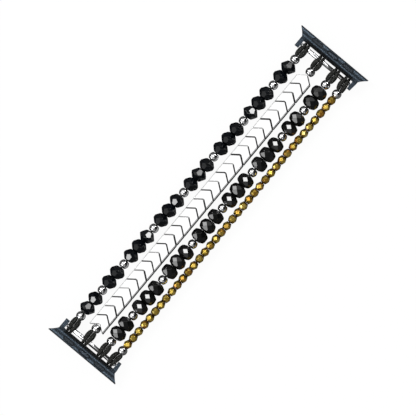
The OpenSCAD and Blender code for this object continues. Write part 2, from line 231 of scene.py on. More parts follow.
def copies(name, master, places, face_value=None, before=0):
    """One mesh of many copies of a master mesh, each put in place by a matrix. A copy has its own tone, a
    face its own number, and a point says how near it lies to an end of its bead, from 0 to 1."""
    made = bmesh.new()
    tone_layer = made.verts.layers.float.new("tone")
    end_layer = made.verts.layers.float.new("end")
    facet_layer = made.faces.layers.float.new("facet")
    half_length = max(vertex.co.x for vertex in master.vertices)
    chance = random.Random(f"{SEED} {name}")
    for index, place in enumerate(places, before):
        first = len(made.verts)
        first_face = len(made.faces)
        made.from_mesh(master)
        made.verts.ensure_lookup_table()
        made.faces.ensure_lookup_table()
        tone = chance.random()
        for face in made.faces[first_face:]:
            face[facet_layer] = face_value(face, index) if face_value else chance.random()
        for vertex in made.verts[first:]:
            vertex[end_layer] = abs(vertex.co.x) / half_length
            vertex[tone_layer] = tone
            vertex.co = place @ vertex.co
    return new_mesh(name, made)


def placed(centre, spin=0.0, yaw=0.0, pitch=0.0):
    """A matrix that spins a bead on its cord, tips it, and moves it to a centre in millimetres."""
    turn = (
        Matrix.Rotation(math.radians(yaw), 4, "Z")
        @ Matrix.Rotation(math.radians(pitch), 4, "Y")
        @ Matrix.Rotation(math.radians(spin), 4, "X")
    )
    return Matrix.Translation(Vector(centre) * MM) @ turn


def riding_piece(mesh, material, node):
    """Shows a mesh in place of a CAD node, on the body of that node."""
    mesh.materials.clear()
    mesh.materials.append(material)
    piece = new_object(mesh.name, mesh)
    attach(piece, frame["nodes"][node]["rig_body"])
    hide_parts(node)


def blended_piece(mesh, material, node):
    """Shows a mesh in place of a CAD node."""
    mesh.materials.append(material)
    piece = new_object(mesh.name, mesh)
    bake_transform(piece)
    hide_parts(node)


# Materials

def opaque(colour):
    """A colour as a socket or a ramp takes it. A number stands for a grey."""
    if isinstance(colour, float):
        colour = (colour, colour, colour)
    return (*colour, 1.0)


class Nodes:
    """The nodes of a material or a world, with short calls for those used here."""

    def __init__(self, owner, output):
        owner.use_nodes = True
        self.owner = owner
        self.tree = owner.node_tree
        self.tree.nodes.clear()
        self.output = self.add(output)

    def add(self, kind, **settings):
        node = self.tree.nodes.new("ShaderNode" + kind)
        for name, value in settings.items():
            setattr(node, name, value)
        return node

    def link(self, source, target):
        self.tree.links.new(source, target)

    def put(self, value, socket):
        """A plain value, or what another node gives, in a socket."""
        if isinstance(value, bpy.types.NodeSocket):
            self.link(value, socket)
        else:
            socket.default_value = value

    def use(self, kind, output, settings=None, **sockets):
        """Adds a node with its settings and sockets, and gives one of its outputs."""
        node = self.add(kind, **(settings or {}))
        for name, value in sockets.items():
            self.put(value, node.inputs[name.replace("_", " ")])
        return node.outputs[output]

    def object_place(self):
        """Places on the object, in millimetres."""
        return self.scaled(self.add("TexCoord").outputs["Object"], 1 / MM)

    def value(self, name):
        """A number that the mesh keeps under a name."""
        return self.add("Attribute", attribute_name=name).outputs["Fac"]

    def ramp(self, factor, *stops):
        """Colours between stops of (place, colour)."""
        ramp = self.add("ValToRGB")
        elements = ramp.color_ramp.elements
        while len(elements) < len(stops):
            elements.new(0.5)
        for element, (position, colour) in zip(elements, stops):
            element.position = position
            element.color = opaque(colour)
        self.link(factor, ramp.inputs["Fac"])
        return ramp.outputs["Color"]

    def between(self, factor, low, high):
        """A number from low to high as factor goes from 0 to 1."""
        return self.use("MapRange", "Result", To_Min=low, To_Max=high, Value=factor)

    def math(self, operation, first, second=0.0):
        node = self.add("Math", operation=operation)
        self.put(first, node.inputs[0])
        self.put(second, node.inputs[1])
        return node.outputs["Value"]

    def times(self, first, second):
        return self.math("MULTIPLY", first, second)

    def sum_of_squares(self, first, second):
        return self.math("ADD", self.times(first, first), self.times(second, second))

    def scaled(self, colour, factor):
        """A colour or a place times a number."""
        return self.use("VectorMath", "Vector", {"operation": "SCALE"}, Vector=colour, Scale=factor)

    def smooth_step(self, value, low, high):
        """0 where the value is at low, 1 where it is at high, and a smooth way between."""
        smooth = {"interpolation_type": "SMOOTHSTEP"}
        return self.use("MapRange", "Result", smooth, From_Min=low, From_Max=high, Value=value)

    def level(self, below, amount, level):
        """The level where the amount is 1, and what is below it elsewhere."""
        return self.use("Mix", "Result", A=below, B=level, Factor=amount)

    def either(self, factor, first, second):
        """The first shader where the factor is 0, and the second where it is 1."""
        mix = self.add("MixShader")
        self.put(factor, mix.inputs[0])
        self.link(first, mix.inputs[1])
        self.link(second, mix.inputs[2])
        return mix.outputs["Shader"]

    def shining(self, kind, strength):
        """A shader that only shines: Emission on a surface, and Background in a world."""
        return self.use(kind, kind, Strength=strength)

    def by_ray(self, dull, mirrors, camera):
        """Shows one shader to dull surfaces, one to mirrors and stones, and one to the camera."""
        seen = self.add("LightPath")
        reflected = self.math("MAXIMUM", seen.outputs["Is Glossy Ray"], seen.outputs["Is Transmission Ray"])
        for_others = self.either(reflected, dull, mirrors)
        shown = self.either(seen.outputs["Is Camera Ray"], for_others, camera)
        self.link(shown, self.output.inputs["Surface"])


class Surface(Nodes):
    """A material of one shader, with numbers for some of its sockets. Its place is in millimetres."""

    def __init__(self, name, **sockets):
        super().__init__(bpy.data.materials.new(name), "OutputMaterial")
        self.shader = self.add("BsdfPrincipled")
        for socket, value in sockets.items():
            self.shader.inputs[socket.replace("_", " ")].default_value = value
        self.link(self.shader.outputs["BSDF"], self.output.inputs["Surface"])
        self.place = self.object_place()

    def noise(self, size, detail):
        """Soft noise whose patches are about size millimetres across."""
        return self.use("TexNoise", "Fac", Scale=1 / size, Detail=detail, Vector=self.place)

    def finish(self, colour, roughness):
        self.link(colour, self.shader.inputs["Base Color"])
        self.link(roughness, self.shader.inputs["Roughness"])

    def bump(self, height, depth, strength):
        """Relief whose height factor goes from 0 to 1 over a depth in millimetres."""
        normal = self.use("Bump", "Normal", Strength=strength, Distance=depth * MM, Height=height)
        self.link(normal, self.shader.inputs["Normal"])


def agate_material():
    """Near-black polished stone with faint blue clouds and bands."""
    nodes = Surface("agate", IOR=1.5)
    clouds = nodes.noise(2.2, 4.0)
    bands = nodes.use(
        "TexWave", "Fac", {"wave_type": "BANDS", "bands_direction": "X"},
        Scale=0.35, Distortion=6.0, Detail=3.0, Vector=nodes.place,
    )
    mixed = nodes.times(clouds, bands)
    lifted = nodes.math("ADD", mixed, nodes.between(nodes.value("facet"), 0.0, 0.25))
    colour = nodes.ramp(
        lifted,
        (0.0, (0.001, 0.0013, 0.002)),
        (0.45, (0.0025, 0.0033, 0.005)),
        (0.9, (0.006, 0.008, 0.012)),
    )
    nodes.finish(colour, nodes.between(nodes.noise(1.1, 3.0), 0.03, 0.08))
    nodes.bump(nodes.noise(0.9, 1.0), 0.008, 0.5)
    return nodes.owner


def crystal_material():
    """Black cut glass: some facets show a smoky grey from inside."""
    nodes = Surface("crystal", IOR=1.5)
    inside = nodes.ramp(
        nodes.value("facet"),
        (0.0, 0.004),
        (0.7, 0.008),
        (1.0, (0.015, 0.0145, 0.016)),
    )
    clouds = nodes.between(nodes.noise(1.5, 2.0), 0.5, 1.3)
    strength = nodes.times(clouds, nodes.between(nodes.value("tone"), 0.7, 1.3))
    nodes.finish(nodes.scaled(inside, strength), nodes.between(nodes.noise(0.8, 2.0), 0.02, 0.06))
    nodes.bump(nodes.noise(1.3, 1.0), 0.008, 0.4)
    return nodes.owner


def gold_material():
    """Glass with a bronze-gold metallic coat, whose tone changes from bead to bead and facet to facet, and
    which painted shade darkens to brown at the ends, where the beads meet."""
    nodes = Surface("gold_glass", Metallic=0.85, Coat_Weight=0.4, Coat_Roughness=0.05, Coat_IOR=1.5)
    facet = nodes.times(nodes.value("facet"), 0.55)
    tone = nodes.times(nodes.value("tone"), 0.3)
    clouds = nodes.between(nodes.noise(0.9, 2.0), -0.1, 0.25)
    mixed = nodes.math("ADD", nodes.math("ADD", facet, tone), clouds)
    colour = nodes.ramp(
        mixed,
        (0.0, (0.6, 0.2, 0.025)),
        (0.22, (0.78, 0.38, 0.05)),
        (0.42, (0.6, 0.44, 0.06)),
        (0.62, (0.88, 0.6, 0.1)),
        (0.82, (1.0, 0.74, 0.18)),
        (1.0, (1.0, 0.88, 0.36)),
    )
    # Painted shade: darker and browner towards the ends of each bead, where it meets its neighbours
    shade = nodes.ramp(nodes.value("end"), (0.4, 1.0), (0.8, (0.14, 0.1, 0.08)))
    darkened = nodes.add("VectorMath", operation="MULTIPLY")
    nodes.link(colour, darkened.inputs[0])
    nodes.link(shade, darkened.inputs[1])
    nodes.finish(darkened.outputs["Vector"], nodes.between(nodes.noise(0.5, 2.0), 0.14, 0.28))
    nodes.bump(nodes.noise(0.7, 1.0), 0.02, 0.5)
    return nodes.owner


def mirror_material(name, colour, roughness, wave, depth):
    """Plated mirror metal with faint smears and a slightly uneven surface, whose waves are some millimetres
    across. Its roughness goes from one value to another."""
    nodes = Surface(name, Metallic=1.0)
    smear = nodes.noise(wave, 3.0)
    tint = nodes.ramp(smear, (0.3, [0.94 * c for c in colour]), (0.7, colour))
    nodes.finish(tint, nodes.between(smear, *roughness))
    nodes.bump(nodes.noise(2 * wave, 1.0), depth, 0.5)
    return nodes.owner


# What a chevron's face is, as the number that the face keeps: plain plate, a long edge painted pale and
# matte in place of a reflection, a joint with painted shade, paler or greyer on the agate side and dark on
# the gold side, and the wall with painted shade
PLATE = 0.0
PALE_EDGE_REFLECTION = 0.2
PALE_JOINT_SHADE = 0.4
GREY_JOINT_SHADE = 0.6
SHADED_WALL = 0.8
DARK_JOINT_SHADE = 1.0


def chevron_material():
    """Silver plate with mirror tops. Its long edges are painted pale and matte in place of a reflection,
    and its joints and its wall are darkened with painted shade.
    """
    nodes = Surface("chevron_metal")
    kind = nodes.value("facet")
    smear = nodes.noise(1.6, 3.0)
    # Painted shade in the joints and on the wall, lighter in every other joint on the agate side, and a
    # pale painted reflection on the long edges
    plated = nodes.ramp(
        kind,
        (PLATE, (0.95, 0.95, 0.955)),
        (PALE_EDGE_REFLECTION, 0.88),
        (PALE_JOINT_SHADE, 0.65),
        (GREY_JOINT_SHADE, 0.06),
        (SHADED_WALL, 0.045),
        (DARK_JOINT_SHADE, 0.012),
    )
    smeared_and_shaded = nodes.scaled(plated, nodes.between(smear, 0.94, 1.03))
    dull = nodes.ramp(kind, (PLATE, 0.04), (PALE_EDGE_REFLECTION, 0.4))
    metallic = nodes.ramp(kind, (PLATE, 1.0), (PALE_EDGE_REFLECTION, 0.0))
    nodes.finish(smeared_and_shaded, nodes.times(dull, nodes.between(smear, 0.8, 1.4)))
    nodes.link(metallic, nodes.shader.inputs["Metallic"])
    nodes.bump(nodes.noise(3.2, 1.0), 0.008, 0.5)
    return nodes.owner


def braid_material():
    """Black braided elastic of satin threads. Painted shade darkens the joints between the threads and the
    sides of a cord, so that the crowns show lighter.
    """
    nodes = Surface("cord_loop", Specular_IOR_Level=0.25)
    fibre = nodes.noise(0.12, 3.0)
    # Painted shade from the relief of the braid and the sides of the cord
    lifted = nodes.times(nodes.value("relief"), nodes.between(fibre, 0.55, 1.25))
    colour = nodes.ramp(
        lifted,
        (0.0, 0.001),
        (0.5, (0.012, 0.0125, 0.011)),
        (1.0, (0.036, 0.037, 0.033)),
    )
    nodes.finish(colour, nodes.between(fibre, 0.45, 0.7))
    nodes.bump(fibre, 0.03, 0.6)
    return nodes.owner


def elastic_material():
    """The black elastic inside the beads, with faint strands along it."""
    nodes = Surface("elastic_cord", IOR=1.45)
    point = {"vector_type": "POINT"}
    nodes.place = nodes.use("Mapping", "Vector", point, Scale=(0.15, 1.0, 1.0), Vector=nodes.place)
    strands = nodes.noise(0.12, 2.0)
    colour = nodes.ramp(strands, (0.3, 0.006), (0.75, (0.028, 0.028, 0.027)))
    nodes.finish(colour, nodes.between(strands, 0.3, 0.5))
    nodes.bump(strands, 0.03, 0.8)
    return nodes.owner


# Places on a lug, for its painted light and shade: its outer face, the depth of its body, where its ears
# start, and the outline that the pads and the catch share
OUTER_X = box_mm("right_lug_body")[1].x
LUG_DEPTH = 4.0
EAR_Y = bar_high.y
pad_boxes = islands("right_friction_pads")
PILL_W = pad_boxes[0][1].x - pad_boxes[0][0].x
PILL_LEN = pad_boxes[0][1].y - pad_boxes[0][0].y
PILL_INSET = OUTER_X - middle(pad_boxes[0]).x
PILL_YS = [middle(box).y for box in pad_boxes] + [0.0]
# How wide the line is over which the painted light and shade change at an ear, and where its shoulder and
# the ear itself start, by their distances from the outer face
EAR_BLUR = 0.9
SHOULDER_STARTS = (2.6, 2.9)
EAR_STARTS = (3.7, 4.2)
# The painted shade in the lug round a pad or the catch, from its outside in, and the painted shade on the
# rim inside
PILL_JOINT_SHADE = (0.14, 0.04)
PILL_RIM_SHADE = (-0.45, -0.2)
# The painted highlight on the crown of the catch, and its blur as squares of the way from its middle
CROWN_W = 0.9
CROWN_LEN = 4.2
CROWN_BLUR = (1.3, 0.3)


def lug_place(nodes):
    """Distance from a lug's outer face, and place along the lug, in millimetres."""
    parts = nodes.add("SeparateXYZ")
    nodes.link(nodes.place, parts.inputs["Vector"])
    from_edge = nodes.math("SUBTRACT", OUTER_X, nodes.math("ABSOLUTE", parts.outputs["X"]))
    return from_edge, parts.outputs["Y"]


def outside_pills(nodes):
    """How far a place on a lug lies outside the outlines of its pads and its catch, in millimetres."""
    from_edge, along = lug_place(nodes)
    aside = nodes.math("SUBTRACT", from_edge, PILL_INSET)
    nearest = 2 * LUG_DEPTH
    for centre_y in PILL_YS:
        offset = nodes.math("ABSOLUTE", nodes.math("SUBTRACT", along, centre_y))
        past = nodes.math("MAXIMUM", nodes.math("SUBTRACT", offset, (PILL_LEN - PILL_W) / 2), 0.0)
        from_spine = nodes.math("SQRT", nodes.sum_of_squares(past, aside))
        nearest = nodes.math("MINIMUM", nodes.math("SUBTRACT", from_spine, PILL_W / 2), nearest)
    return nearest


def lug_material():
    """Slate satin with fine grain. The rail and the ridge carry painted highlights, and the outer edge, the
    slope down to the bar and the joints round the pads and the catch carry painted shade."""
    nodes = Surface("lug_metal", Metallic=0.3, Specular_IOR_Level=0.15)
    from_edge, along = lug_place(nodes)
    grain = nodes.noise(0.09, 2.0)
    patches = nodes.noise(3.0, 3.0)
    mixed = nodes.math("ADD", nodes.times(grain, 0.3), nodes.times(patches, 0.7))
    colour = nodes.ramp(mixed, (0.3, (0.046, 0.062, 0.08)), (0.7, (0.062, 0.083, 0.108)))
    # Painted highlights on the rail and the ridge, and painted shade on the outer edge and on the slope
    # down to the bar, by the distance from the outer face
    painted_light_across = nodes.ramp(
        nodes.math("DIVIDE", from_edge, LUG_DEPTH),
        (0.08, 0.4), (0.15, 1.2), (0.2, 2.0), (0.26, 1.5), (0.34, 0.4), (0.48, 0.45),
        (0.54, 0.9), (0.6, 1.7), (0.65, 0.9), (0.7, 0.2), (0.76, 0.06), (1.0, 0.03),
    )
    on_ear = nodes.smooth_step(nodes.math("ABSOLUTE", along), EAR_Y - EAR_BLUR, EAR_Y)
    shoulder = nodes.times(on_ear, nodes.smooth_step(from_edge, *SHOULDER_STARTS))
    ear = nodes.times(on_ear, nodes.smooth_step(from_edge, *EAR_STARTS))
    # Painted shade in the lug round the pads and the catch
    shaded_joint = nodes.smooth_step(outside_pills(nodes), *PILL_JOINT_SHADE)
    painted_light_and_shade = nodes.level(nodes.level(nodes.level(painted_light_across, shoulder, 0.5), ear, 0.95), shaded_joint, 0.1)
    nodes.finish(nodes.scaled(colour, painted_light_and_shade), nodes.between(patches, 0.36, 0.5))
    nodes.bump(grain, 0.02, 0.35)
    return nodes.owner


def pill_material(name, dark, light, metallic, crown_highlight_level):
    """Satin for the pads and the catch: painted shade along the outline, and on the catch a painted
    highlight on the crown.
    """
    nodes = Surface(name, Metallic=metallic, Specular_IOR_Level=0.2)
    from_edge, along = lug_place(nodes)
    aside = nodes.math("DIVIDE", nodes.math("SUBTRACT", from_edge, PILL_INSET), CROWN_W / 2)
    off = nodes.math("DIVIDE", along, CROWN_LEN / 2)
    # A painted highlight on the crown of the catch, and painted shade along the rim
    crown = nodes.smooth_step(nodes.sum_of_squares(aside, off), *CROWN_BLUR)
    rim = nodes.smooth_step(outside_pills(nodes), *PILL_RIM_SHADE)
    level = nodes.level(nodes.between(crown, 1.0, crown_highlight_level), rim, 0.3)
    grain = nodes.noise(0.12, 3.0)
    colour = nodes.scaled(nodes.ramp(grain, (0.3, dark), (0.7, light)), level)
    nodes.finish(colour, nodes.between(grain, 0.4, 0.55))
    nodes.bump(grain, 0.02, 0.3)
    return nodes.owner


def steel_material(name, dark, light, roughness, grain_size):
    """Fine-grained steel for the tips and the springs. Its roughness goes from one value to another."""
    nodes = Surface(name, Metallic=1.0)
    grain = nodes.noise(grain_size, 3.0)
    colour = nodes.ramp(grain, (0.3, dark), (0.7, light))
    nodes.finish(colour, nodes.between(grain, *roughness))
    nodes.bump(grain, 0.02, 0.3)
    return nodes.owner


AGATE = agate_material()
CRYSTAL = crystal_material()
GOLD = gold_material()
CHEVRON_METAL = chevron_material()
SILVER = mirror_material("silver_bead", (0.93, 0.93, 0.94), roughness=(0.02, 0.05), wave=0.9, depth=0.01)
CHROME = mirror_material("bar_chrome", (0.9, 0.91, 0.92), roughness=(0.03, 0.06), wave=1.2, depth=0.003)
BRAID = braid_material()
ELASTIC = elastic_material()
LUG_METAL = lug_material()
PAD_RUBBER = pill_material(
    "pad_rubber", (0.026, 0.033, 0.042), (0.038, 0.048, 0.06), metallic=0.0, crown_highlight_level=1.0
)
CATCH_METAL = pill_material(
    "catch_metal", (0.024, 0.031, 0.04), (0.034, 0.043, 0.055), metallic=0.3, crown_highlight_level=2.4
)
PIN_STEEL = steel_material(
    "pin_steel", (0.42, 0.43, 0.45), (0.58, 0.59, 0.6), roughness=(0.2, 0.32), grain_size=0.15
)
SPRING_STEEL = steel_material(
    "spring_steel", (0.35, 0.36, 0.38), (0.52, 0.53, 0.55), roughness=(0.28, 0.4), grain_size=0.1
)


# Cut beads

# Bore of every bead, its flare at the ends, and how far the drill runs past them
BORE_R = 0.6
BORE_FLARE = 0.12
DRILL_PAST = 0.2
# The drill is turned from a closed profile, which leaves a hair-thin hole in its middle
DRILL_CORE_R = 0.0005
# Side of the block that a bead is cut from, in diameters
BLOCK_SIDE = 1.5
# Width of the polished break along a facet's edge
EDGE_BREAK = 0.05
# Corners of facets that lie closer than this are one
FACET_WELD = 0.004
# Distance under which a point counts as on a cutting plane, in metres
ON_PLANE = 1e-7


def cut(block, point, normal):
    """Cuts away what lies outside a plane, and closes the cut with one flat face."""
    result = bmesh.ops.bisect_plane(
        block,
        geom=block.verts[:] + block.edges[:] + block.faces[:],
        dist=ON_PLANE,
        plane_co=point,
        plane_no=normal,
        clear_outer=True,
    )
    rim = [item for item in result["geom_cut"] if isinstance(item, bmesh.types.BMEdge)]
    if rim:
        bmesh.ops.contextual_create(block, geom=rim)


def cut_bead(name, diameter, length, facets, kite_slope, end_slope, end_radius):
    """A faceted bead cut from a block as a lapidary does: a belt of rhombi round the middle, a ring of
    kites each side of it, and a steeper ring of facets down to the flat ends. It is bored along X."""
    radius = diameter / 2
    half_step = math.pi / facets
    block = bmesh.new()
    bmesh.ops.create_cube(block, size=BLOCK_SIDE * diameter * MM)
    for end in (-1, 1):
        cut(block, (end * length / 2 * MM, 0, 0), (end, 0, 0))
    for side in range(2 * facets):
        angle = side * half_step
        outward = Vector((0, math.cos(angle), math.sin(angle)))
        if side % 2:
            cut(block, outward * radius * math.cos(half_step) * MM, outward)
            ring_radius = end_radius
            ring_x = length / 2
            slope = end_slope
        else:
            ring_radius = radius
            ring_x = 0.0
            slope = kite_slope
        for end in (-1, 1):
            normal = (outward + Vector((end * slope, 0, 0))).normalized()
            cut(block, (outward * ring_radius + Vector((end * ring_x, 0, 0))) * MM, normal)
    bmesh.ops.remove_doubles(block, verts=block.verts, dist=FACET_WELD * MM)
    bmesh.ops.bevel(
        block,
        geom=block.edges[:],
        offset=EDGE_BREAK * MM,
        segments=1,
        affect="EDGES",
        clamp_overlap=True,
    )
    bmesh.ops.recalc_face_normals(block, faces=block.faces)
    return bored(name, new_mesh(name, block), length)


def bored(name, mesh, length):
    """The mesh with a bore along X, which breaks into the ends with a small flare."""
    half = length / 2
    reach = half + DRILL_PAST
    flared_r = BORE_R + BORE_FLARE + DRILL_PAST
    profile = [
        (-reach, DRILL_CORE_R),
        (-reach, flared_r),
        (-half + BORE_FLARE, BORE_R),
        (half - BORE_FLARE, BORE_R),
        (reach, flared_r),
        (reach, DRILL_CORE_R),
    ]
    drill = new_object("drill", lathe("drill", profile, sides=24))
    bead = new_object(name, mesh)
    drilling = bead.modifiers.new("bore", "BOOLEAN")
    drilling.operation = "DIFFERENCE"
    drilling.solver = "EXACT"
    drilling.object = drill
    bpy.context.view_layer.update()
    graph = bpy.context.evaluated_depsgraph_get()
    made = bpy.data.meshes.new_from_object(bead.evaluated_get(graph))
    bpy.data.objects.remove(bead)
    bpy.data.objects.remove(drill)
    return made


# How far a bead may lie off its turn, in degrees
WOBBLE = 0.6
# What an agate gives up in length to stay clear of its neighbours as it is turned, and what the outer
# agates and crystals of a group give up at their outer ends, for the way that the band bends back
TURN_ROOM = 0.1
BEND_ROOM = 0.12
# Spin, yaw and pitch of a stone by the facet that shines: each name is one look in the photograph
AGATE_TURNS = {
    "plain": (-18, 6, 6),
    "left": (-12, 6, 7),
    "right": (4, 6, -6),
    "grey": (-2, 6, -8),
}
AGATE_ORDER = (
    "grey left plain plain left plain right plain plain left plain grey plain plain plain plain "
    "right plain plain plain grey"
)
CRYSTAL_TURNS = {
    "left": (-27, 0, 0),
    "top": (14, 0, 6),
    "pair": (-5.5, 0, 0),
    "dim": (-9, 0, 0),
}
CRYSTAL_ORDER = (
    "pair left top top left left pair top left pair left top pair top left left top top pair dim dim"
)
# Spin and yaw of the gold beads, which repeat along the strand
GOLD_SPINS = (0, 8, -7, 5, -10, 12)
GOLD_YAWS = (0, 3, -3)


def stone_strand(kind, material, slot, turns, turn_room=0.0, bend_room=0.0, **shape):
    """Every bead of one strand: a piece for each segment, with the beads where the frame has them.
    Each bead has its own turn: spin on the cord, yaw and pitch."""
    length, diameter = size_of_first(f"{kind}s_1")
    master = cut_bead(f"{kind}_bead", diameter, length - turn_room, **shape)
    chance = random.Random(f"{SEED} {kind}")
    waiting = iter(turns)
    for segment in range(1, SEGMENTS + 1):
        node = f"{kind}s_{segment}"
        places = []
        boxes = islands(node)
        for index, box in enumerate(boxes):
            spin, yaw, pitch = (angle + chance.uniform(-WOBBLE, WOBBLE) for angle in next(waiting))
            left_room = bend_room if index == 0 else 0.0
            right_room = bend_room if index == len(boxes) - 1 else 0.0
            centre = middle(box) + Vector(((left_room - right_room) / 2, 0, 0))
            share = 1 - (left_room + right_room) / (box[1].x - box[0].x)
            shorter = Matrix.Scale(share, 4, Vector((1, 0, 0)))
            places.append(placed(centre, spin=spin, yaw=yaw, pitch=pitch) @ shorter)
        riding_piece(copies(f"cut_{node}", master, places), material, node)


stone_strand(
    "agate", AGATE, "agate", [AGATE_TURNS[look] for look in AGATE_ORDER.split()], TURN_ROOM, BEND_ROOM,
    facets=8, kite_slope=0.74, end_slope=2.1, end_radius=1.2,
)
stone_strand(
    "crystal", CRYSTAL, "crystal", [CRYSTAL_TURNS[look] for look in CRYSTAL_ORDER.split()],
    bend_room=BEND_ROOM, facets=8, kite_slope=0.45, end_slope=1.9, end_radius=1.2,
)
stone_strand(
    "gold", GOLD, "gold_glass", zip(cycle(GOLD_SPINS), cycle(GOLD_YAWS), cycle((0,))),
    facets=6, kite_slope=0.46, end_slope=1.8, end_radius=0.88,
)


# Silver beads

# Widest lip at the end of a silver bead's bore, and the share of it at which its curve's middle lies
LIP = 0.08
LIP_MIDDLE = 0.3
SILVER_STEPS = 40
SILVER_SIDES = 64


def silver_bead(length, diameter):
    """A round bead with a rolled lip at each end of its bore."""
    radius = diameter / 2
    half = length / 2
    flat_r = math.sqrt(radius * radius - half * half)
    lip = min(LIP, (flat_r - BORE_R) / 3)
    small = LIP_MIDDLE * lip
    start = math.acos(half / radius)
    rim = [(lip, BORE_R), (small, BORE_R + small), (0, BORE_R + lip), (0, flat_r - lip / 2)]
    profile = [(inset - half, r) for inset, r in rim]
    for step in range(SILVER_STEPS + 1):
        angle = math.pi - start - (math.pi - 2 * start) * step / SILVER_STEPS
        profile.append((radius * math.cos(angle), radius * math.sin(angle)))
    profile += [(half - inset, r) for inset, r in reversed(rim)]
    return lathe("silver_bead", profile, SILVER_SIDES)


silver_length, silver_d = size_of_first("left_end_beads")
silver_master = silver_bead(silver_length, silver_d)
silver_nodes = [f"{hand}_end_beads" for hand in HANDS]
silver_nodes += [f"spacer_beads_{spacer}" for spacer in range(1, SEGMENTS)]
for silver_node in silver_nodes:
    silver_places = [placed(middle(box)) for box in islands(silver_node)]
    silver_mesh = copies(f"polished_{silver_node}", silver_master, silver_places)
    riding_piece(silver_mesh, SILVER, silver_node)


# Chevron beads

# The node whose first bead is the pattern of them all
CHEVRON_NODE = "chevrons_5"
# Width of the rounded break along a chevron's edges
CHEVRON_BREAK = 0.24
# Least angles between faces, in degrees: where the solid's own facets part, and where an edge is broken
FLAT_ANGLE = 0.5
SHARP_ANGLE = 20
# How far off the bore an edge is still on it
ON_BORE = 0.05
# How far a chevron may lie off its place on the cord, in degrees
CHEVRON_WOBBLE = 0.3
# Least part of a face's normal along the band in a joint, and across the band on the wall and on a long
# edge, where painted shade and a pale painted reflection go
JOINT_LEAN = 0.15
WALL_LEAN = 0.85
EDGE_LEAN = 0.4


def rolls_over(edge):
    """Whether an edge is sharp and lies off the bore of its bead, which is centred on the X axis."""
    if len(edge.link_faces) != 2 or edge.calc_face_angle() <= math.radians(SHARP_ANGLE):
        return False
    return max(math.hypot(v.co.y, v.co.z) for v in edge.verts) >= (BORE_R + ON_BORE) * MM


def chevron_master():
    """One chevron bead as the frame has it, about its own centre, with its edges rolled over."""
    made = welded(CHEVRON_NODE)
    keep = linked(min(made.verts, key=lambda v: v.co.x))
    bmesh.ops.delete(made, geom=[v for v in made.verts if v not in keep], context="VERTS")
    bmesh.ops.translate(made, verts=made.verts, vec=-middle(islands(CHEVRON_NODE)[0]) * MM)
    bmesh.ops.dissolve_limit(
        made, angle_limit=math.radians(FLAT_ANGLE), verts=made.verts, edges=made.edges
    )
    bmesh.ops.bevel(
        made,
        geom=[edge for edge in made.edges if rolls_over(edge)],
        offset=CHEVRON_BREAK * MM,
        segments=3,
        profile=0.5,
        affect="EDGES",
        clamp_overlap=False,
    )
    return new_mesh("chevron_bead", made)


def chevron_face_shading(face, bead):
    """What a face of a chevron is, for its painted light and shade. Joints get painted shade: dark on the
    gold side, and on the agate side paler in every other joint, as painted light.
    """
    normal = face.normal
    if abs(normal.x) > JOINT_LEAN:
        if face.calc_center_median().y < 0:
            return DARK_JOINT_SHADE
        pale = (bead % 2 == 1) == (normal.x > 0)
        return PALE_JOINT_SHADE if pale else GREY_JOINT_SHADE
    if normal.y < -WALL_LEAN:
        return SHADED_WALL
    if abs(normal.y) > EDGE_LEAN:
        return PALE_EDGE_REFLECTION
    return PLATE


def chevron_strand():
    """Every chevron, a piece for each segment."""
    master = chevron_master()
    chance = random.Random(f"{SEED} chevrons")
    count = 0
    for segment in range(1, SEGMENTS + 1):
        node = f"chevrons_{segment}"
        places = []
        for box in islands(node):
            yaw, pitch = (chance.uniform(-CHEVRON_WOBBLE, CHEVRON_WOBBLE) for _ in range(2))
            places.append(placed(middle(box), yaw=yaw, pitch=pitch))
        joined = copies(f"plated_{node}", master, places, chevron_face_shading, count)
        count += len(places)
        riding_piece(joined, CHEVRON_METAL, node)


chevron_strand()


# Carried-over parts of the lugs

# Angle between faces from which an edge is broken, in degrees
BREAK_ANGLE = 35
# Points of these parts that lie closer than this are one
PART_WELD = 0.001


def keep_node(node, material, edge_break=0.0, segments=2):
    """Shows a CAD node with a finish of its own, and its sharp edges broken."""
    piece = frame["nodes"][node]
    piece.material_slots[0].material = material
    if edge_break:
        weld = piece.modifiers.new("weld", "WELD")
        weld.merge_threshold = PART_WELD * MM
        bevel = piece.modifiers.new("edge break", "BEVEL")
        bevel.width = edge_break * MM
        bevel.segments = segments
        bevel.limit_method = "ANGLE"
        bevel.angle_limit = math.radians(BREAK_ANGLE)
        bevel.harden_normals = True


for hand in HANDS:
    keep_node(f"{hand}_lug_body", LUG_METAL, edge_break=0.1)
    keep_node(f"{hand}_friction_pads", PAD_RUBBER, edge_break=0.08)
    keep_node(f"{hand}_catch", CATCH_METAL, edge_break=0.22, segments=4)
    keep_node(f"{hand}_bar_tube", CHROME, edge_break=0.08)
    keep_node(f"{hand}_bar_tip_agate_side", PIN_STEEL)
    keep_node(f"{hand}_bar_tip_gold_side", PIN_STEEL)


# Springs in the lugs, as coils

WIRE_R = 0.11
# Way from one turn of a coil to the next
COIL_PITCH = 0.42
COIL_STEPS = 20
WIRE_SIDES = 8


def coil(name, node, start, end):
    """A coil spring from a point to another, in millimetres."""
    way = end - start
    length = way.length
    way.normalize()
    across = Vector((1, 0, 0))
    beside = way.cross(across)
    steps = round(length / COIL_PITCH) * COIL_STEPS
    low, high = box_mm(node)
    coil_r = (high.x - low.x) / 2 - WIRE_R
    points = []
    for step in range(steps + 1):
        angle = math.tau * step / COIL_STEPS
        out = across * math.cos(angle) + beside * math.sin(angle)
        risen = WIRE_R + (length - 2 * WIRE_R) * step / steps
        centre = start + way * risen + out * coil_r
        for turn in around(WIRE_SIDES):
            points.append(centre + (out * math.cos(turn) + way * math.sin(turn)) * WIRE_R)
    mesh = mesh_of(name, points, tube_faces(steps + 1, WIRE_SIDES))
    blended_piece(mesh, SPRING_STEEL, node)


